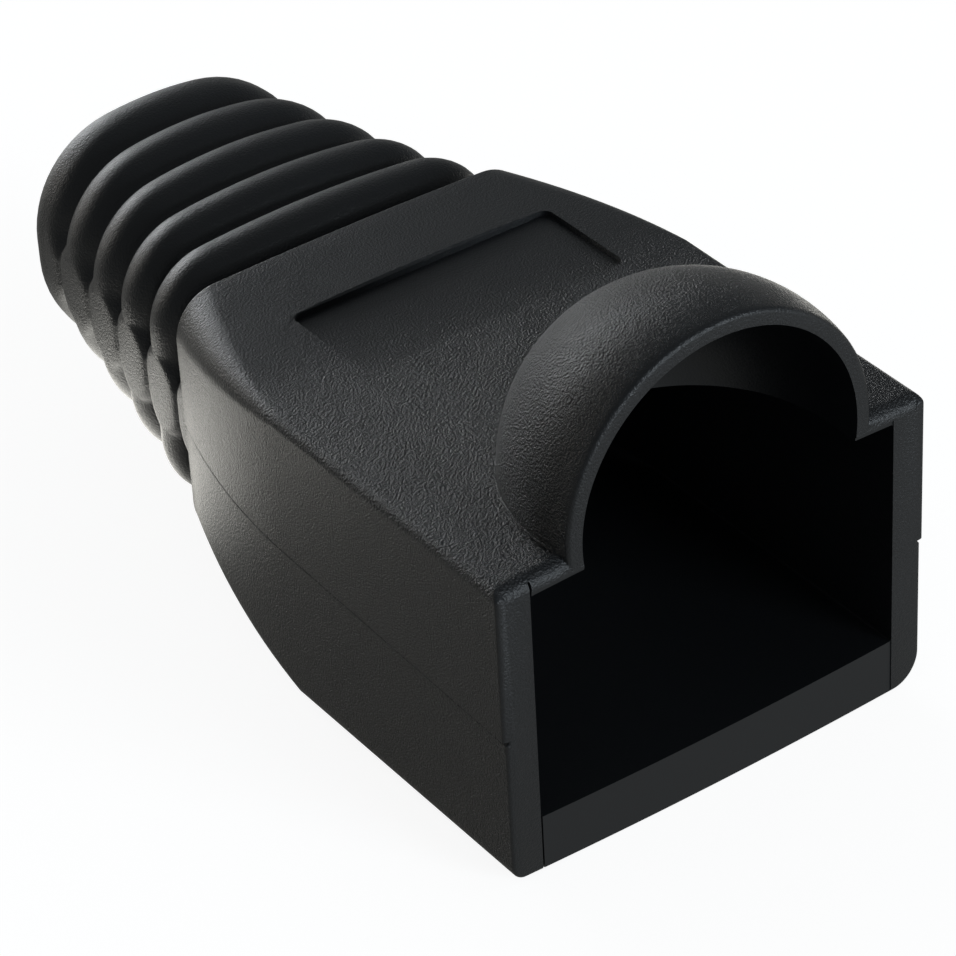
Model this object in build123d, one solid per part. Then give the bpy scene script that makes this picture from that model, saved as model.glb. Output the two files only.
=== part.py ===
from build123d import *
from math import atan, degrees, hypot, sqrt
import os

# Driving sizes, in millimetres. The mouth faces -Y, the cable tail points to +Y and +Z is up.

# Box that slips over the plug
BODY_WIDTH = 14.0
BODY_HEIGHT = 9.73
BOX_LENGTH = 10.1
SIDE_WALL = 1.08
TOP_WALL = 0.56
FLOOR_WALL = 1.75
TOP_EDGE_RADIUS = 0.3
BOTTOM_EDGE_RADIUS = 1.0

# Mouth, with rounded outer edges and side walls that stand a little proud
MOUTH_ROUND = 0.3
LIP_RECESS = 0.1

# Shoulder that narrows from the box to the rim in front of the ribs
SHOULDER_LENGTH = 6.6
RIM_CORNER = 1.4

# Ribbed tail round the axis of the cable: a flat oval at its root, with a crowned and rounder end
AXIS_HEIGHT = 5.45
TAIL_HALF_WIDTH = 5.95
TAIL_HALF_HEIGHT = 4.2
TAIL_CORNER = 1.8
TAIL_CROWN = 150.0
TAIL_END_HALF_WIDTH = 4.55
TAIL_END_HALF_HEIGHT = 3.9
TAIL_END_CORNER = 3.45
TAIL_END_CROWN = 11.0
END_LENGTH = 1.15

# Ribs of the tail: the first crest lies inside the shoulder, and the last rib is the bead at the end
RIB_PITCH = 2.04
RIBS = 5
CREST_BEFORE_RIM = 0.3
GROOVE_DEPTH = 0.72
GROOVE_END_DEPTH = 0.42
GROOVE_FLOOR = 0.12
SEAT_DEPTH = 0.15

# Spine that runs along each side of the tail between the upper and the lower grooves
SPINE_HALF = 0.25
SPINE_FLARE = 0.5

# Hood over the plug's latch
HOOD_RADIUS = 5.08
HOOD_CENTRE_BACK = 1.24
HOOD_CENTRE_HEIGHT = 9.77
HOOD_WALL = 0.6

# Label window in the top of the shoulder
WINDOW_WIDTH = 8.7
WINDOW_LENGTH = 3.7
WINDOW_DEPTH = 0.25
WINDOW_CORNER = 0.3

# Inside
POCKET_DEPTH = 10.6
CABLE_BORE = 5.2

# Step left between the skins of pieces that would otherwise lie in one surface
SKIN_STEP = 0.05

# Sizes that follow from the ones above
HALF_WIDTH = BODY_WIDTH / 2
SHOULDER_END = BOX_LENGTH + SHOULDER_LENGTH
FIRST_CREST = SHOULDER_END - CREST_BEFORE_RIM
LAST_CREST = FIRST_CREST + RIBS * RIB_PITCH
LENGTH = LAST_CREST + END_LENGTH
CAVITY_HALF_WIDTH = HALF_WIDTH - SIDE_WALL
CEILING = BODY_HEIGHT - TOP_WALL
SHOULDER_TOP_DROP = BODY_HEIGHT - AXIS_HEIGHT - TAIL_HALF_HEIGHT
SHOULDER_FLOOR_RISE = AXIS_HEIGHT - TAIL_HALF_HEIGHT


def across(y, height=0):
    """Plane across the boot at a distance y behind the mouth, with its own x to the right and y up."""
    return Plane(origin=(0, y, height), x_dir=(1, 0, 0), z_dir=(0, -1, 0))


def between(start, end, share):
    """Value at a share of the way from start to end."""
    return start + (end - start) * share


def shoulder_section(share):
    """Section of the shoulder, from the box at share 0 to the rim at share 1."""
    half_width = between(HALF_WIDTH, TAIL_HALF_WIDTH, share ** 2)
    top = BODY_HEIGHT - SHOULDER_TOP_DROP * share
    floor = SHOULDER_FLOOR_RISE * share
    outline = Pos(0, (top + floor) / 2) * Rectangle(2 * half_width, top - floor)
    lower = outline.vertices().group_by(Axis.Y)[0]
    outline = fillet(lower, between(BOTTOM_EDGE_RADIUS, RIM_CORNER, share))
    upper = outline.vertices().group_by(Axis.Y)[-1]
    outline = fillet(upper, between(TOP_EDGE_RADIUS, RIM_CORNER, share))
    return across(between(BOX_LENGTH, SHOULDER_END, share)) * outline


def tail_share(y):
    """How far along the tail y lies, from its first crest to its last."""
    return (y - FIRST_CREST) / (LAST_CREST - FIRST_CREST)


def tail_outline(y, inset=0):
    """Outline of the tail at y: crowned top and bottom, round corners and straight sides."""
    share = tail_share(y)
    half_width = between(TAIL_HALF_WIDTH, TAIL_END_HALF_WIDTH, share) - inset
    half_height = between(TAIL_HALF_HEIGHT, TAIL_END_HALF_HEIGHT, share) - inset
    corner = between(TAIL_CORNER, TAIL_END_CORNER, share) - inset
    crown = 1 / between(1 / TAIL_CROWN, 1 / TAIL_END_CROWN, share) - inset
    crown_centre = half_height - crown
    corner_x = half_width - corner
    corner_z = crown_centre + sqrt((crown - corner) ** 2 - corner_x ** 2)
    lean_x, lean_z = corner_x / (crown - corner), (corner_z - crown_centre) / (crown - corner)
    middle = corner / hypot(lean_x + 1, lean_z)
    crown_end = (crown * lean_x, crown_centre + crown * lean_z)
    corner_middle = (corner_x + middle * (lean_x + 1), corner_z + middle * lean_z)
    half_crown = RadiusArc((0, half_height), crown_end, crown)
    round_corner = ThreePointArc(crown_end, corner_middle, (half_width, corner_z))
    side = Line((half_width, corner_z), (half_width, 0))
    quarter = [half_crown, round_corner, side]
    right = quarter + [mirror(edge, Plane.XZ) for edge in quarter]
    whole = right + [mirror(edge, Plane.YZ) for edge in right]
    return across(y, AXIS_HEIGHT) * Wire([edge.edge() for edge in whole])


def groove_depth(rib):
    """Depth of the grooves beside a rib, counted from the crest inside the shoulder."""
    return between(GROOVE_DEPTH, GROOVE_END_DEPTH, rib / RIBS)


def make_rib(rib):
    """Round rib swept round the tail, with its root sunk into the core."""
    y = FIRST_CREST + rib * RIB_PITCH
    depth = groove_depth(rib)
    half_width = (RIB_PITCH - GROOVE_FLOOR) / 2
    radius = (half_width ** 2 + depth ** 2) / (2 * depth)
    root = depth + SEAT_DEPTH
    root_half = sqrt(radius ** 2 - (radius - root) ** 2)
    skin = SKIN_STEP if rib == 0 else 0
    crest = AXIS_HEIGHT + between(TAIL_HALF_HEIGHT, TAIL_END_HALF_HEIGHT, rib / RIBS) - skin
    front = (0, y - root_half, crest - root)
    back = (0, y + root_half, crest - root)
    profile = make_face([ThreePointArc(front, (0, y, crest), back).edge(), Line(back, front).edge()])
    return sweep(profile, path=tail_outline(y, skin))


def make_core():
    """Core of the tail, which makes the floors of the grooves."""
    places = [FIRST_CREST + rib * RIB_PITCH for rib in range(RIBS + 1)] + [LENGTH]
    faces = []
    for y in places:
        depth = groove_depth(min(tail_share(y), 1) * RIBS)
        faces.append(make_face(tail_outline(y, depth)))
    return loft(faces)


def make_spine(side):
    """Spine along one side of the tail, flush with the crests and flared towards the core."""
    flare = SPINE_HALF + SPINE_FLARE
    faces = []
    for y in (FIRST_CREST, LAST_CREST):
        share = tail_share(y)
        skin = between(TAIL_HALF_WIDTH, TAIL_END_HALF_WIDTH, share) - SKIN_STEP
        foot = skin - groove_depth(share * RIBS) - SEAT_DEPTH
        edge = skin - SKIN_STEP
        outline = [
            Line((foot, -flare), (edge, -SPINE_HALF)),
            ThreePointArc((edge, -SPINE_HALF), (skin, 0), (edge, SPINE_HALF)),
            Line((edge, SPINE_HALF), (foot, flare)),
            Line((foot, flare), (foot, -flare)),
        ]
        face = across(y, AXIS_HEIGHT) * make_face([line.edge() for line in outline])
        faces.append(face if side > 0 else mirror(face, Plane.YZ))
    return loft(faces)


def make_tail():
    """Ribbed tail with a flat end across its last rib."""
    ribs = [make_rib(rib) for rib in range(RIBS + 1)]
    spines = [make_spine(side) for side in (-1, 1)]
    room = Box(BODY_WIDTH, LENGTH, BODY_HEIGHT, align=(Align.CENTER, Align.MIN, Align.MIN))
    return (make_core() + ribs + spines) & room


def make_box():
    """Straight box around the plug, with rounded edges round the mouth."""
    front = Pos(0, -BOX_LENGTH, 0) * shoulder_section(0)
    box = extrude(front, amount=BOX_LENGTH, dir=(0, 1, 0))
    return fillet(box.faces().sort_by(Axis.Y)[0].edges(), MOUTH_ROUND)


def make_shoulder():
    """Convex taper between the box and the tail."""
    return loft([shoulder_section(share) for share in (0, 0.5, 1)])


def make_hood():
    """Ball-shaped hood that stands out of the box top, cut off at the mouth with a rounded rim."""
    half_ball = Pos(HOOD_CENTRE_BACK, 0) * Circle(HOOD_RADIUS)
    half_ball &= Pos(LIP_RECESS, 0) * Rectangle(BOX_LENGTH, HOOD_RADIUS, align=(Align.MIN, Align.MIN))
    rim = half_ball.vertices().group_by(Axis.X)[0].sort_by(Axis.Y)[-1]
    profile = fillet(rim, MOUTH_ROUND)
    middle = Plane(origin=(0, 0, HOOD_CENTRE_HEIGHT), x_dir=(0, 1, 0), z_dir=(1, 0, 0))
    ball = revolve(middle * profile, axis=Axis(middle.origin, middle.x_dir))
    room = Box(BODY_WIDTH, BOX_LENGTH, BODY_HEIGHT, align=(Align.CENTER, Align.MIN, Align.MIN))
    return ball & (Pos(0, 0, CEILING) * room)


def make_hood_space():
    """Space under the hood: a round bore from the mouth that ends in half a ball."""
    radius = HOOD_RADIUS - HOOD_WALL
    ball = Pos(0, HOOD_CENTRE_BACK, HOOD_CENTRE_HEIGHT) * Sphere(radius)
    bore = across(0, HOOD_CENTRE_HEIGHT) * Circle(radius)
    return ball + extrude(bore, amount=HOOD_CENTRE_BACK, dir=(0, 1, 0))


def make_cavity():
    """Space for the plug: a rectangular pocket, a funnel behind it and the bore for the cable."""
    opening = Pos(0, (CEILING + FLOOR_WALL) / 2) * Rectangle(2 * CAVITY_HALF_WIDTH, CEILING - FLOOR_WALL)
    pocket = extrude(across(0) * opening, amount=POCKET_DEPTH, dir=(0, 1, 0))
    throat = across(SHOULDER_END, AXIS_HEIGHT) * Circle(CABLE_BORE / 2)
    funnel = loft([across(POCKET_DEPTH) * opening, throat])
    bore = extrude(throat, amount=LENGTH - SHOULDER_END, dir=(0, 1, 0))
    return pocket + funnel + bore


def make_window():
    """Shallow label window that lies along the sloping top of the shoulder."""
    slope = degrees(atan(SHOULDER_TOP_DROP / SHOULDER_LENGTH))
    slab = extrude(RectangleRounded(WINDOW_WIDTH, WINDOW_LENGTH, WINDOW_CORNER), amount=WINDOW_DEPTH, both=True)
    middle = WINDOW_LENGTH / 2
    top = BODY_HEIGHT - SHOULDER_TOP_DROP * middle / SHOULDER_LENGTH
    return Pos(0, BOX_LENGTH + middle, top) * Rot(-slope, 0, 0) * slab


def make_lip_recess():
    """Shallow step of the mouth's face between the two side walls, which stand proud of it."""
    height = HOOD_CENTRE_HEIGHT + HOOD_RADIUS
    return Box(2 * CAVITY_HALF_WIDTH, LIP_RECESS, height, align=(Align.CENTER, Align.MIN, Align.MIN))


def make_boot():
    """The whole boot, one moulding."""
    outside = make_box() + make_shoulder() + make_tail() + make_hood()
    return outside - make_cavity() - make_hood_space() - make_window() - make_lip_recess()


boot = Pos(0, -LENGTH / 2, 0) * make_boot()
os.makedirs("parts", exist_ok=True)
export_step(boot, "parts/boot.step")
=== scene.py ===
"""A black soft moulded boot for a network plug, seen from above its open mouth."""

import math

import bmesh
import bpy
from mathutils import Matrix, Vector


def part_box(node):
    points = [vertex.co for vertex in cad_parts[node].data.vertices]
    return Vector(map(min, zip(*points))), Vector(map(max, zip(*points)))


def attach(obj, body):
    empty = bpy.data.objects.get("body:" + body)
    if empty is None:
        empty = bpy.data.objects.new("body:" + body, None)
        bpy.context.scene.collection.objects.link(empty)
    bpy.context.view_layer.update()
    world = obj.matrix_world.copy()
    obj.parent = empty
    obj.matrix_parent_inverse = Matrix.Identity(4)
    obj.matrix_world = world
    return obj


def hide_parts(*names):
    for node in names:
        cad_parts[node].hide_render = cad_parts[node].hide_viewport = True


MM = 0.001

# Box. Every size of the boot is in millimetres, and lengths run from its mouth to its tail
SIDE_WALL = 1.08
TOP_WALL = 0.56
FLOOR_WALL = 1.75
BOX_HEIGHT = 9.73
BOX_LENGTH = 10.1
TOP_EDGE_RADIUS = 0.3
LEFT_BOTTOM_RADIUS = 0.5
RIGHT_BOTTOM_RADIUS = 1.0
MOUTH_TOP_ROUND = 0.42
MOUTH_SIDE_ROUND = 0.1

# Space inside, with its recessed lip and the slit beside the left wall
POCKET_DEPTH = 10.6
POCKET_CORNER = 0.075
CABLE_RADIUS = 2.6
LIP_RECESS = 0.03
LIP_ABOVE_CEILING = 0.02
SLIT = 0.07
SLIT_DEPTH = 0.15
SLIT_ABOVE_CEILING = 0.3

# Shoulder and its rim
SHOULDER_LENGTH = 6.6
SHOULDER_BULGE = 2
RIM_CORNER = 1.4
RIM_ROUND = 0.1

# Ribbed tail, from the crest inside the shoulder to the bead at the end
AXIS_HEIGHT = 5.45
TAIL_HALF_WIDTH = 5.95
TAIL_HALF_HEIGHT = 4.2
TAIL_CORNER = 1.8
TAIL_CROWN = 150.0
TAIL_END_HALF_WIDTH = 4.55
TAIL_END_HALF_HEIGHT = 3.9
TAIL_END_CORNER = 3.45
TAIL_END_CROWN = 11.0
CREST_BEFORE_RIM = 0.3
START_BEHIND_RIM = 0.02
RIB_PITCH = 2.04
RIBS = 5
GROOVE_DEPTH = 0.72
GROOVE_END_DEPTH = 0.42
GROOVE_FLOOR = 0.12
SPINE_HALF = 0.45
SPINE_FOOT = 1.25
SPINE_BLEND = 0.5

# Parting line of the mould along both sides: a step that fades toward the rim of the shoulder,
# and a groove under it that is as many steps deep and rows of faces high as given here
PARTING_HEIGHT = 4.87
PARTING_STEP = 0.09
PARTING_FADE = 3
PARTING_GROOVE = 2.0
PARTING_ROWS = 3

# Hood over the latch, and the flash at its foot
HOOD_RADIUS = 5.08
HOOD_WALL = 0.6
HOOD_RIGHT = 0.2
HOOD_CENTRE_BACK = 1.24
HOOD_CENTRE_HEIGHT = 9.77
HOOD_RIM_ROUND = 0.15
HOOD_FACE = 0.002
FLASH_RADIUS = 0.028
FLASH_SIDES = 8

# Label window
WINDOW_WIDTH = 8.7
WINDOW_LENGTH = 3.7
WINDOW_DEPTH = 0.25
WINDOW_CORNER = 0.3
WINDOW_EDGE = 0.07
WINDOW_RIGHT = 0.45

# Rows of faces
CROWN_ROWS = 12
CORNER_ROWS = 14
SIDE_ROWS = 24
SIDE_CROWDING = 1.8
RIB_ROWS = 14
SHOULDER_ROWS = 14
ROUND_ROWS = 6
TURN_STEPS = 128

# Cuts and clean-up
CUT_CLEARANCE = 1.0
LEAST_RING_GAP = 0.005
MERGE_DISTANCE = 0.0005
PLANE_TOLERANCE = 0.0001
SHARP_ANGLE = 38

# Skin. The grain has its given depth on top of the box, and the shares of it below elsewhere
SKIN_COLOUR = (0.0085, 0.0098, 0.0115, 1)
SKIN_ROUGHNESS = 0.4
SKIN_SPECULAR = 0.45
GRAIN_SCALE = 15000
GRAIN_DETAIL = 2
GRAIN_ROUGHNESS = 0.6
GRAIN_DEPTH = 0.12
TAIL_FADE = (6, 13)
TAIL_GRAIN = 0.3
RIM_FADE = (0.04, 0.3)
RIM_GRAIN = 0.3
SIDE_FACING = (0.93, 0.98)
SIDE_GRAIN = 1.8
INNER_GRAIN = 0.08

# Camera, and the point inside the boot that it aims at, in degrees and millimetres
VIEW_AZIMUTH = -33.873
VIEW_HEIGHT = 35.395
VIEW_DISTANCE = 122.42
VIEW_ROLL = 3.297
VIEW_TARGET_RIGHT = 0.741
VIEW_TARGET_BEHIND_MOUTH = 12.0
VIEW_TARGET_UP = 3.089
LENS_MM = 162.2
SENSOR_MM = 36.0
NEAREST = 1
FARTHEST = 10000

# Floor: white to the camera, and in reflections a dim warm grey with a bright glowing patch, a painted
# reflection that makes the sheen on the rear of the boot's left side
FLOOR_HALF = 600
FLOOR_COLOUR = (0.3, 0.3, 0.3, 1)
FLOOR_ROUGHNESS = 0.8
FLOOR_WHITE = 0.9
MIRRORED_STRENGTH = 0.25
MIRRORED_GREEN = 0.98
MIRRORED_BLUE = 0.91
# Painted reflection: a patch under and beside the rear of the boot that glows only to glossy rays, for
# the sheen on the rear of its left side
PAINTED_SHEEN_STRENGTH = 3.8
PAINTED_SHEEN_START = (3, 9)
PAINTED_SHEEN_END = (11, 18)
PAINTED_SHEEN_LEFT = (-12, -7)

# Surroundings, and the lamps as name, place and size in millimetres, watts and colour
SKY_COLOUR = (0.92, 0.97, 1, 1)
SKY_STRENGTH = 0.18
LAMP_AIM_HEIGHT = 5
LAMPS = (
    ("back", (30, 260, 34), 110, 0.26, (0.95, 0.98, 1)),
    ("back_left", (-75, 240, 32), 60, 0.05, (1, 0.94, 0.85)),
    ("panel", (130, 220, 170), 200, 0.017, (0.92, 0.97, 1)),
    ("front", (80, -250, 60), 120, 0.36, (0.84, 0.93, 1)),
)


def between(start, end, share):
    """Value at a share of the way from start to end."""
    return start + (end - start) * share


def drop(radius, distance):
    """Depth of a rounded edge at a distance from its start."""
    left = max(radius - distance, 0)
    return radius - math.sqrt(radius ** 2 - left ** 2)


def soft(depth, blend):
    """Depth that fades to nothing below zero."""
    return (depth + math.sqrt(depth ** 2 + blend ** 2)) / 2


def quarter_point(size, step):
    """Point and outward normal at a step of a quarter outline, from its top middle to its side."""
    half_width, half_height, corner, crown = size
    centre_x = half_width - corner
    lean = math.asin(centre_x / (crown - corner))
    crown_centre = half_height - crown
    centre_z = crown_centre + (crown - corner) * math.cos(lean)
    if step <= CROWN_ROWS:
        angle = lean * step / CROWN_ROWS
        across, up = math.sin(angle), math.cos(angle)
        return crown * across, crown_centre + crown * up, across, up
    if step <= CROWN_ROWS + CORNER_ROWS:
        angle = between(lean, math.pi / 2, (step - CROWN_ROWS) / CORNER_ROWS)
        across, up = math.sin(angle), math.cos(angle)
        return centre_x + corner * across, centre_z + corner * up, across, up
    share = (CROWN_ROWS + CORNER_ROWS + SIDE_ROWS - step) / SIDE_ROWS
    return half_width, centre_z * share ** SIDE_CROWDING, 1, 0


def ring_point(ring, step):
    """Place on a ring: the outline's point, sunk by the mouth's round, a groove or the parting."""
    quarter = CROWN_ROWS + CORNER_ROWS + SIDE_ROWS
    side, along = divmod(step, quarter)
    upper = side in (0, 3)
    left = side > 1
    if side in (1, 3):
        along = quarter - along
    size = ring["upper"] if upper else ring["left" if left else "right"]
    x, z, out_x, out_z = quarter_point(size, along)
    mouth_round = between(MOUTH_SIDE_ROUND, MOUTH_TOP_ROUND, out_z ** 2 if upper else 0)
    lift = ring["depth"] * min(max((SPINE_FOOT - z) / (SPINE_FOOT - SPINE_HALF), 0), 1)
    blend = SPINE_BLEND * lift
    groove = soft(ring["groove"] - lift, blend) - soft(-lift, blend)
    sink = ring["inset"] + groove + (drop(mouth_round, ring["y"]) if ring["mouth"] else 0)
    x -= sink * out_x
    z -= sink * out_z
    if not upper and along < quarter:
        x -= ring["step"] * out_x * (1 if along < quarter - PARTING_ROWS else PARTING_GROOVE)
    return (-x if left else x), ring["y"], ring["axis"] + (z if upper else -z)


def wrap(rings):
    """Closed skin through a row of rings, made of a grid that is rolled up."""
    around = 4 * (CROWN_ROWS + CORNER_ROWS + SIDE_ROWS)
    half = 0.5
    mesh = bmesh.new()
    bmesh.ops.create_grid(mesh, x_segments=around, y_segments=len(rings) - 1, size=half)
    for vert in mesh.verts:
        step = round((vert.co.x + half) * around) % around
        row = round((vert.co.y + half) * (len(rings) - 1))
        vert.co = ring_point(rings[row], step)
    bmesh.ops.remove_doubles(mesh, verts=mesh.verts, dist=MERGE_DISTANCE)
    bmesh.ops.holes_fill(mesh, edges=mesh.edges, sides=0)
    bmesh.ops.recalc_face_normals(mesh, faces=mesh.faces)
    return mesh


def make_ring(y, outlines, inset=0, groove=0, depth=0, axis=AXIS_HEIGHT, step=0, mouth=False):
    """One ring of a skin: its place, its outlines above and at both sides below, and its depths."""
    upper, left, right = outlines
    return {
        "y": y, "upper": upper, "left": left, "right": right, "inset": inset, "groove": groove,
        "depth": depth, "axis": axis, "step": step, "mouth": mouth,
    }


def body_ring(y, half_width, top, floor, corners, mouth=False):
    """Ring of the box or of the shoulder, whose axis follows the parting line."""
    toward_rim = y / (BOX_LENGTH + SHOULDER_LENGTH)
    axis = between(PARTING_HEIGHT, AXIS_HEIGHT, toward_rim)
    outlines = [(half_width, top - axis, corners[0], TAIL_CROWN)]
    outlines += [(half_width, axis - floor, corner, TAIL_CROWN) for corner in corners[1:]]
    step = PARTING_STEP * (1 - toward_rim ** PARTING_FADE)
    return make_ring(y, outlines, axis=axis, step=step, mouth=mouth)


def body_rings(half_width):
    """Rings of the box, round at the mouth, and of the convex taper with its small round rim."""
    corners = (TOP_EDGE_RADIUS, LEFT_BOTTOM_RADIUS, RIGHT_BOTTOM_RADIUS)
    rings = []
    for mouth_round in (MOUTH_SIDE_ROUND, MOUTH_TOP_ROUND):
        for row in range(ROUND_ROWS + 1):
            y = mouth_round * (1 - math.cos(math.pi / 2 * row / ROUND_ROWS))
            if not rings or y > rings[-1]["y"] + LEAST_RING_GAP:
                rings.append(body_ring(y, half_width, BOX_HEIGHT, 0, corners, True))
    for row in range(SHOULDER_ROWS + 1):
        share = row / SHOULDER_ROWS
        y = BOX_LENGTH + (SHOULDER_LENGTH - RIM_ROUND) * share
        width = between(half_width, TAIL_HALF_WIDTH, share ** SHOULDER_BULGE)
        top = between(BOX_HEIGHT, AXIS_HEIGHT + TAIL_HALF_HEIGHT, share)
        floor = between(0, AXIS_HEIGHT - TAIL_HALF_HEIGHT, share)
        edges = [between(radius, RIM_CORNER, share) for radius in corners]
        rings.append(body_ring(y, width, top, floor, edges))
    rim = [(TAIL_HALF_WIDTH, TAIL_HALF_HEIGHT, RIM_CORNER, TAIL_CROWN)] * 3
    for row in range(1, ROUND_ROWS + 1):
        angle = math.pi / 2 * row / ROUND_ROWS
        y = BOX_LENGTH + SHOULDER_LENGTH - RIM_ROUND * (1 - math.sin(angle))
        rings.append(make_ring(y, rim, RIM_ROUND * (1 - math.cos(angle))))
    return rings


def tail_outline(share):
    """Outline of the tail at a share of the way to its end, from nearly square to nearly oval."""
    return (
        between(TAIL_HALF_WIDTH, TAIL_END_HALF_WIDTH, share),
        between(TAIL_HALF_HEIGHT, TAIL_END_HALF_HEIGHT, share),
        between(TAIL_CORNER, TAIL_END_CORNER, share),
        1 / between(1 / TAIL_CROWN, 1 / TAIL_END_CROWN, share),
    )


def rib_rings(length):
    """Rings of the tail: round ribs with narrow floors between them, up to the flat end."""
    first = BOX_LENGTH + SHOULDER_LENGTH - CREST_BEFORE_RIM
    rings = []
    for rib in range(RIBS + 1):
        crest = first + rib * RIB_PITCH
        depth = between(GROOVE_DEPTH, GROOVE_END_DEPTH, rib / RIBS)
        half = (RIB_PITCH - GROOVE_FLOOR) / 2
        radius = (half ** 2 + depth ** 2) / (2 * depth)
        reach = math.asin(half / radius)
        start = math.asin((CREST_BEFORE_RIM + START_BEHIND_RIM) / radius) if rib == 0 else -reach
        end = math.asin((length - crest) / radius) if rib == RIBS else reach
        for row in range(RIB_ROWS + 1):
            angle = between(start, end, row / RIB_ROWS)
            sunk = radius * (1 - math.cos(angle))
            if rib == 0:
                sunk += RIM_ROUND * (1 - row / RIB_ROWS)
            bead = rib == RIBS and angle > 0
            y = crest + radius * math.sin(angle)
            outline = tail_outline(min((y - first) / (RIBS * RIB_PITCH), 1))
            inset, groove, wall = (sunk, 0, 0) if bead else (0, sunk, depth)
            rings.append(make_ring(y, [outline] * 3, inset, groove, wall))
    return rings


def cavity_rings(half_width, length):
    """Rings of the plug's pocket, the funnel behind it and the cable's bore."""
    ceiling = BOX_HEIGHT - TOP_WALL
    middle, half_height = (ceiling + FLOOR_WALL) / 2, (ceiling - FLOOR_WALL) / 2
    stations = (
        (-CUT_CLEARANCE, 0), (POCKET_DEPTH, 0),
        (BOX_LENGTH + SHOULDER_LENGTH, 1), (length + CUT_CLEARANCE, 1),
    )
    rings = []
    for y, share in stations:
        outline = (
            between(half_width - SIDE_WALL, CABLE_RADIUS, share),
            between(half_height, CABLE_RADIUS, share),
            between(POCKET_CORNER, CABLE_RADIUS, share),
            TAIL_CROWN,
        )
        rings.append(make_ring(y, [outline] * 3, axis=between(middle, AXIS_HEIGHT, share)))
    return rings


def turn(profile):
    """Solid turned round the hood's axis from a profile of distances from the mouth and radii."""
    mesh = bmesh.new()
    verts = [mesh.verts.new((HOOD_RIGHT, y, HOOD_CENTRE_HEIGHT + radius)) for y, radius in profile]
    for first, second in zip(verts, verts[1:]):
        mesh.edges.new((first, second))
    bmesh.ops.spin(
        mesh, geom=mesh.verts[:] + mesh.edges[:], axis=(0, 1, 0),
        cent=(HOOD_RIGHT, 0, HOOD_CENTRE_HEIGHT),
        angle=2 * math.pi, steps=TURN_STEPS, use_merge=True,
    )
    bmesh.ops.remove_doubles(mesh, verts=mesh.verts, dist=MERGE_DISTANCE)
    bmesh.ops.recalc_face_normals(mesh, faces=mesh.faces)
    return mesh


def ball_points(radius, start, rows):
    """Profile points round the middle of the hood's ball, from an angle back to its pole."""
    points = []
    for row in range(rows + 1):
        angle = between(start, 0, row / rows)
        points.append((HOOD_CENTRE_BACK + radius * math.cos(angle), radius * math.sin(angle)))
    return points


def hood_shell():
    """Outside of the hood, a ball cut off behind the mouth's face, with a round rim."""
    round_y = HOOD_FACE + HOOD_RIM_ROUND
    ahead = HOOD_CENTRE_BACK - round_y
    round_centre = math.sqrt((HOOD_RADIUS - HOOD_RIM_ROUND) ** 2 - ahead ** 2)
    rise = math.atan2(round_centre, -ahead)
    profile = [(HOOD_FACE, 0)]
    for row in range(ROUND_ROWS + 1):
        angle = between(math.pi, rise, row / ROUND_ROWS)
        y = round_y + HOOD_RIM_ROUND * math.cos(angle)
        profile.append((y, round_centre + HOOD_RIM_ROUND * math.sin(angle)))
    return turn(profile + ball_points(HOOD_RADIUS, rise, TURN_STEPS // 3)[1:])


def hood_space():
    """Space under the hood, a bore that ends in half a ball."""
    radius = HOOD_RADIUS - HOOD_WALL
    profile = [(-CUT_CLEARANCE, 0), (-CUT_CLEARANCE, radius)]
    return turn(profile + ball_points(radius, math.pi / 2, TURN_STEPS // 4))


def flash_ring():
    """Thin ridge left by the mould where the hood stands on the box."""
    mesh = bmesh.new()
    upright = Matrix.Rotation(math.pi / 2, 4, "Y")
    place = Matrix.Translation((0, HOOD_RADIUS + FLASH_RADIUS / 2, 0))
    bmesh.ops.create_circle(
        mesh, segments=FLASH_SIDES, radius=FLASH_RADIUS, matrix=place @ upright,
    )
    bmesh.ops.spin(
        mesh, geom=mesh.verts[:] + mesh.edges[:], cent=(0, 0, 0), axis=(0, 0, 1),
        angle=2 * math.pi, steps=TURN_STEPS, use_merge=True,
    )
    bmesh.ops.translate(mesh, vec=(HOOD_RIGHT, HOOD_CENTRE_BACK, BOX_HEIGHT), verts=mesh.verts)
    bmesh.ops.bisect_plane(
        mesh, geom=mesh.verts[:] + mesh.edges[:] + mesh.faces[:], dist=PLANE_TOLERANCE,
        plane_co=(0, MOUTH_TOP_ROUND + FLASH_RADIUS, 0), plane_no=(0, -1, 0), clear_outer=True,
    )
    bmesh.ops.holes_fill(mesh, edges=mesh.edges, sides=0)
    bmesh.ops.recalc_face_normals(mesh, faces=mesh.faces)
    return mesh


def block(low, high):
    """Plain block between two corners."""
    mesh = bmesh.new()
    bmesh.ops.create_cube(mesh, size=1)
    low, high = Vector(low), Vector(high)
    bmesh.ops.scale(mesh, vec=high - low, verts=mesh.verts)
    bmesh.ops.translate(mesh, vec=(low + high) / 2, verts=mesh.verts)
    return mesh


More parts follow.
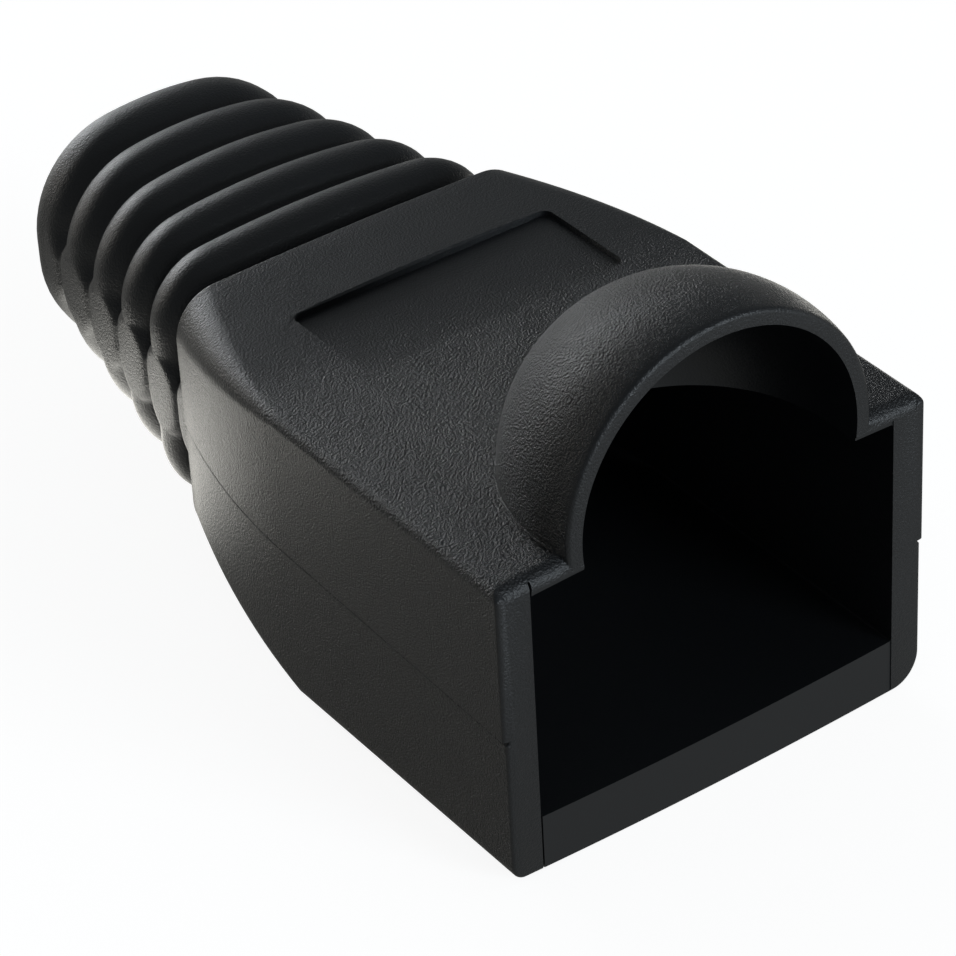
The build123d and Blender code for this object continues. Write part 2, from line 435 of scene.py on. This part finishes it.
def window_block():
    """Slab that cuts the label window, with round corners, along the top of the shoulder."""
    half = Vector((WINDOW_WIDTH, WINDOW_LENGTH, 2 * WINDOW_DEPTH)) / 2
    mesh = block(-half, half)
    upright = [
        edge for edge in mesh.edges
        if abs(edge.verts[0].co.z - edge.verts[1].co.z) > WINDOW_DEPTH
    ]
    bmesh.ops.bevel(
        mesh, geom=upright, offset=WINDOW_CORNER, offset_type="OFFSET", affect="EDGES",
        segments=ROUND_ROWS, profile=0.5, material=-1,
    )
    bmesh.ops.bisect_plane(
        mesh, geom=mesh.verts[:] + mesh.edges[:] + mesh.faces[:], dist=PLANE_TOLERANCE,
        plane_co=(0, 0, -WINDOW_EDGE), plane_no=(0, 0, 1),
    )
    rim = [vert for vert in mesh.verts if vert.co.z > WINDOW_DEPTH / 2]
    spread = WINDOW_DEPTH + WINDOW_EDGE
    bmesh.ops.scale(mesh, vec=(1 + spread / half.x, 1 + spread / half.y, 1), verts=rim)
    fall = (BOX_HEIGHT - AXIS_HEIGHT - TAIL_HALF_HEIGHT) / SHOULDER_LENGTH
    middle = WINDOW_LENGTH / 2
    place = Vector((WINDOW_RIGHT, BOX_LENGTH + middle, BOX_HEIGHT - fall * middle))
    lean = Matrix.Rotation(-math.atan(fall), 3, "X")
    bmesh.ops.rotate(mesh, cent=(0, 0, 0), matrix=lean, verts=mesh.verts)
    bmesh.ops.translate(mesh, vec=place, verts=mesh.verts)
    return mesh


def as_object(name, mesh):
    """Object of a finished bmesh, linked to the scene."""
    data = bpy.data.meshes.new(name)
    mesh.to_mesh(data)
    mesh.free()
    made = bpy.data.objects.new(name, data)
    bpy.context.scene.collection.objects.link(made)
    return made


def shapes_to_apply(half_width, length):
    """Shapes joined to the skin or cut from it, in order, and whether their faces lie inside."""
    pocket_half = half_width - SIDE_WALL
    ceiling = BOX_HEIGHT - TOP_WALL
    lip = block(
        (-pocket_half, -CUT_CLEARANCE, -CUT_CLEARANCE),
        (pocket_half, LIP_RECESS, ceiling + LIP_ABOVE_CEILING),
    )
    slit = block(
        (-pocket_half - SLIT / 2, -CUT_CLEARANCE, -CUT_CLEARANCE),
        (SLIT / 2 - pocket_half, SLIT_DEPTH, ceiling + SLIT_ABOVE_CEILING),
    )
    return [
        ("UNION", hood_shell(), 0),
        ("UNION", flash_ring(), 0),
        ("DIFFERENCE", wrap(cavity_rings(half_width, length)), 1),
        ("DIFFERENCE", hood_space(), 1),
        ("DIFFERENCE", window_block(), 0),
        ("DIFFERENCE", lip, 1),
        ("DIFFERENCE", slit, 1),
    ]


def apply_shapes(moulding, shapes):
    """Mesh of the moulding after each shape, with material index 1 on the faces that lie inside."""
    plain = bpy.data.materials.new("plain")
    tools = []
    for number, (operation, mesh, inner) in enumerate(shapes):
        for face in mesh.faces:
            face.material_index = inner
        tools.append(as_object(f"shape_{number}", mesh))
        cut = moulding.modifiers.new(f"shape_{number}", "BOOLEAN")
        cut.operation = operation
        cut.solver = "EXACT"
        cut.object = tools[-1]
    for made in [moulding] + tools:
        made.data.materials.append(plain)
        made.data.materials.append(plain)
    depsgraph = bpy.context.evaluated_depsgraph_get()
    done = bpy.data.meshes.new_from_object(moulding.evaluated_get(depsgraph))
    moulding.modifiers.clear()
    moulding.data.materials.clear()
    for tool in tools:
        bpy.data.objects.remove(tool)
    bpy.data.materials.remove(plain)
    return done


def finished(done, mouth):
    """Clean bmesh in metres and in its place, with an attribute for the faces that lie inside."""
    finish = bmesh.new()
    finish.from_mesh(done)
    bmesh.ops.remove_doubles(finish, verts=finish.verts, dist=MERGE_DISTANCE)
    bmesh.ops.dissolve_degenerate(finish, edges=finish.edges, dist=MERGE_DISTANCE)
    open_edges = [edge for edge in finish.edges if edge.is_boundary]
    filled = bmesh.ops.holes_fill(finish, edges=open_edges, sides=0)
    for face in filled["faces"]:
        face.material_index = 1
    bmesh.ops.recalc_face_normals(finish, faces=finish.faces)
    inner = finish.faces.layers.float.new("inner")
    for face in finish.faces:
        face[inner] = face.material_index
        face.material_index = 0
        face.smooth = True
    bmesh.ops.scale(finish, vec=(MM, MM, MM), verts=finish.verts)
    bmesh.ops.translate(finish, vec=(0, mouth, 0), verts=finish.verts)
    return finish


def make_moulding(low, high):
    """The whole boot: its skin and hood joined, and the spaces inside and the window cut out."""
    half_width = (high.x - low.x) / MM / 2
    length = (high.y - low.y) / MM
    moulding = as_object("boot_moulding", wrap(body_rings(half_width) + rib_rings(length)))
    done = apply_shapes(moulding, shapes_to_apply(half_width, length))
    finish = finished(done, low.y)
    finish.to_mesh(moulding.data)
    finish.free()
    moulding.data.set_sharp_from_angle(angle=math.radians(SHARP_ANGLE))
    moulding.data.materials.append(boot_material(low.y))
    return moulding


def in_metres(ends, start=0):
    """Two distances in millimetres from a start in metres, as places in metres."""
    return [start + end * MM for end in ends]


def ramp(nodes, links, value, ends, results):
    """Result that changes smoothly while a value goes from one end to the other."""
    node = nodes.new("ShaderNodeMapRange")
    node.interpolation_type = "SMOOTHSTEP"
    node.inputs["From Min"].default_value, node.inputs["From Max"].default_value = ends
    node.inputs["To Min"].default_value, node.inputs["To Max"].default_value = results
    links.new(value, node.inputs["Value"])
    return node.outputs["Result"]


def combine(nodes, links, operation, first, second=0.0):
    """Result of a math operation on one or two values."""
    node = nodes.new("ShaderNodeMath")
    node.operation = operation
    for socket, value in zip(node.inputs, (first, second)):
        if isinstance(value, float):
            socket.default_value = value
        else:
            links.new(value, socket)
    return node.outputs[0]


def boot_material(mouth):
    """Black soft plastic with a fine grain, deeper on the sides and shallow on the ribs and inside."""
    material = bpy.data.materials.new("black_soft_plastic")
    material.use_nodes = True
    nodes, links = material.node_tree.nodes, material.node_tree.links
    shader = nodes["Principled BSDF"]
    shader.inputs["Base Color"].default_value = SKIN_COLOUR
    shader.inputs["Roughness"].default_value = SKIN_ROUGHNESS
    shader.inputs["Specular IOR Level"].default_value = SKIN_SPECULAR
    place = nodes.new("ShaderNodeTexCoord")
    parts = nodes.new("ShaderNodeSeparateXYZ")
    links.new(place.outputs["Object"], parts.inputs[0])
    facing = nodes.new("ShaderNodeNewGeometry")
    turned = nodes.new("ShaderNodeSeparateXYZ")
    links.new(facing.outputs["True Normal"], turned.inputs[0])
    along = parts.outputs["Y"]
    toward_tail = ramp(nodes, links, along, in_metres(TAIL_FADE, mouth), (1, TAIL_GRAIN))
    off_rim = ramp(nodes, links, along, in_metres(RIM_FADE, mouth), (RIM_GRAIN, 1))
    outward = combine(nodes, links, "ABSOLUTE", turned.outputs["X"])
    on_side = ramp(nodes, links, outward, SIDE_FACING, (0, SIDE_GRAIN))
    inside = nodes.new("ShaderNodeAttribute")
    inside.attribute_name = "inner"
    outside = ramp(nodes, links, inside.outputs["Fac"], (0, 1), (1, INNER_GRAIN))
    zone = combine(nodes, links, "MAXIMUM", off_rim, on_side)
    zone = combine(nodes, links, "MULTIPLY", toward_tail, zone)
    zone = combine(nodes, links, "MULTIPLY", zone, outside)
    grain = nodes.new("ShaderNodeTexNoise")
    grain.inputs["Scale"].default_value = GRAIN_SCALE
    grain.inputs["Detail"].default_value = GRAIN_DETAIL
    grain.inputs["Roughness"].default_value = GRAIN_ROUGHNESS
    links.new(place.outputs["Object"], grain.inputs["Vector"])
    bump = nodes.new("ShaderNodeBump")
    bump.inputs["Distance"].default_value = GRAIN_DEPTH * MM
    links.new(zone, bump.inputs["Strength"])
    links.new(grain.outputs["Fac"], bump.inputs["Height"])
    links.new(bump.outputs["Normal"], shader.inputs["Normal"])
    return material


def add_camera(mouth):
    """Camera at the photograph's angle, aimed at a point behind the mouth."""
    azimuth, height = math.radians(VIEW_AZIMUTH), math.radians(VIEW_HEIGHT)
    back = Vector((
        math.sin(azimuth) * math.cos(height),
        -math.cos(azimuth) * math.cos(height),
        math.sin(height),
    ))
    target = MM * Vector((
        VIEW_TARGET_RIGHT, mouth / MM + VIEW_TARGET_BEHIND_MOUTH, VIEW_TARGET_UP,
    ))
    right = Vector((0, 0, 1)).cross(back).normalized()
    up = back.cross(right)
    turn_back = Matrix.Rotation(-math.radians(VIEW_ROLL), 4, "Z")
    frame_turn = Matrix((right, up, back)).transposed().to_4x4() @ turn_back
    data = bpy.data.cameras.new("camera")
    data.lens = LENS_MM
    data.sensor_width = SENSOR_MM
    data.clip_start = NEAREST * MM
    data.clip_end = FARTHEST * MM
    camera = bpy.data.objects.new("camera", data)
    bpy.context.scene.collection.objects.link(camera)
    camera.matrix_world = Matrix.Translation(target + back * VIEW_DISTANCE * MM) @ frame_turn
    bpy.context.scene.camera = camera


def floor_material():
    """White table top to the camera, which shows the boot only a dim grey and a bright glowing patch,
    a painted reflection that makes the sheen on the rear of the boot's left side.
    """
    material = bpy.data.materials.new("white_table")
    material.use_nodes = True
    nodes, links = material.node_tree.nodes, material.node_tree.links
    shader = nodes["Principled BSDF"]
    shader.inputs["Base Color"].default_value = FLOOR_COLOUR
    shader.inputs["Roughness"].default_value = FLOOR_ROUGHNESS
    shader.inputs["Specular IOR Level"].default_value = 0
    path = nodes.new("ShaderNodeLightPath")
    to_camera = path.outputs["Is Camera Ray"]
    tint = nodes.new("ShaderNodeCombineColor")
    tint.inputs["Red"].default_value = 1
    for name, mirrored in (("Green", MIRRORED_GREEN), ("Blue", MIRRORED_BLUE)):
        links.new(ramp(nodes, links, to_camera, (0, 1), (mirrored, 1)), tint.inputs[name])
    links.new(tint.outputs["Color"], shader.inputs["Emission Color"])
    place = nodes.new("ShaderNodeTexCoord")
    parts = nodes.new("ShaderNodeSeparateXYZ")
    links.new(place.outputs["Object"], parts.inputs[0])
    across, along = parts.outputs["X"], parts.outputs["Y"]
    # Painted reflection: a glowing patch that only glossy rays see, which puts the sheen on the rear
    # of the boot's left side
    behind = ramp(nodes, links, along, in_metres(PAINTED_SHEEN_START), (0, PAINTED_SHEEN_STRENGTH))
    near = ramp(nodes, links, along, in_metres(PAINTED_SHEEN_END), (1, 0))
    beside = ramp(nodes, links, across, in_metres(PAINTED_SHEEN_LEFT), (0, 1))
    painted_sheen = combine(nodes, links, "MULTIPLY", behind, near)
    painted_sheen = combine(nodes, links, "MULTIPLY", painted_sheen, beside)
    shown = combine(nodes, links, "ADD", painted_sheen, MIRRORED_STRENGTH)
    mirrored = combine(nodes, links, "MULTIPLY", path.outputs["Is Glossy Ray"], shown)
    seen = combine(nodes, links, "MULTIPLY", to_camera, FLOOR_WHITE)
    strength = combine(nodes, links, "ADD", seen, mirrored)
    links.new(strength, shader.inputs["Emission Strength"])
    return material


def add_floor():
    """Wide table top under the boot."""
    mesh = bmesh.new()
    bmesh.ops.create_grid(mesh, x_segments=1, y_segments=1, size=FLOOR_HALF * MM)
    floor = as_object("floor", mesh)
    floor.data.materials.append(floor_material())


def add_light(name, place, size, power, colour):
    """Soft round lamp at a place in millimetres, aimed at the boot."""
    data = bpy.data.lights.new(name, "AREA")
    data.shape = "DISK"
    data.size = size * MM
    data.energy = power
    data.color = colour
    lamp = bpy.data.objects.new(name, data)
    bpy.context.scene.collection.objects.link(lamp)
    lamp.location = Vector(place) * MM
    aim = Vector((0, 0, LAMP_AIM_HEIGHT)) * MM - lamp.location
    lamp.rotation_euler = aim.to_track_quat("-Z", "Y").to_euler()


def add_world():
    """White backdrop to the camera, dim cool surroundings to the boot."""
    world = bpy.data.worlds.new("studio")
    world.use_nodes = True
    nodes, links = world.node_tree.nodes, world.node_tree.links
    background = nodes["Background"]
    background.inputs["Color"].default_value = SKY_COLOUR
    path = nodes.new("ShaderNodeLightPath")
    seen = ramp(nodes, links, path.outputs["Is Camera Ray"], (0, 1), (SKY_STRENGTH, 1))
    links.new(seen, background.inputs["Strength"])
    bpy.context.scene.world = world


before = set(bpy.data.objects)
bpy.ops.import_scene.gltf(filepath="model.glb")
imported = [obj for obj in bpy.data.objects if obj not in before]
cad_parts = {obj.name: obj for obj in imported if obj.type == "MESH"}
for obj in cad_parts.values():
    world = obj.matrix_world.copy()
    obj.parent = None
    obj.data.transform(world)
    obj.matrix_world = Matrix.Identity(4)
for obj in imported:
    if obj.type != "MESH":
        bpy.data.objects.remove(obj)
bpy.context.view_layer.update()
low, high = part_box("boot")
bpy.context.scene.view_settings.view_transform = "Standard"

moulding = make_moulding(low, high)
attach(moulding, "root")
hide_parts("boot")

add_camera(low.y)
add_floor()
add_world()
for lamp in LAMPS:
    add_light(*lamp)
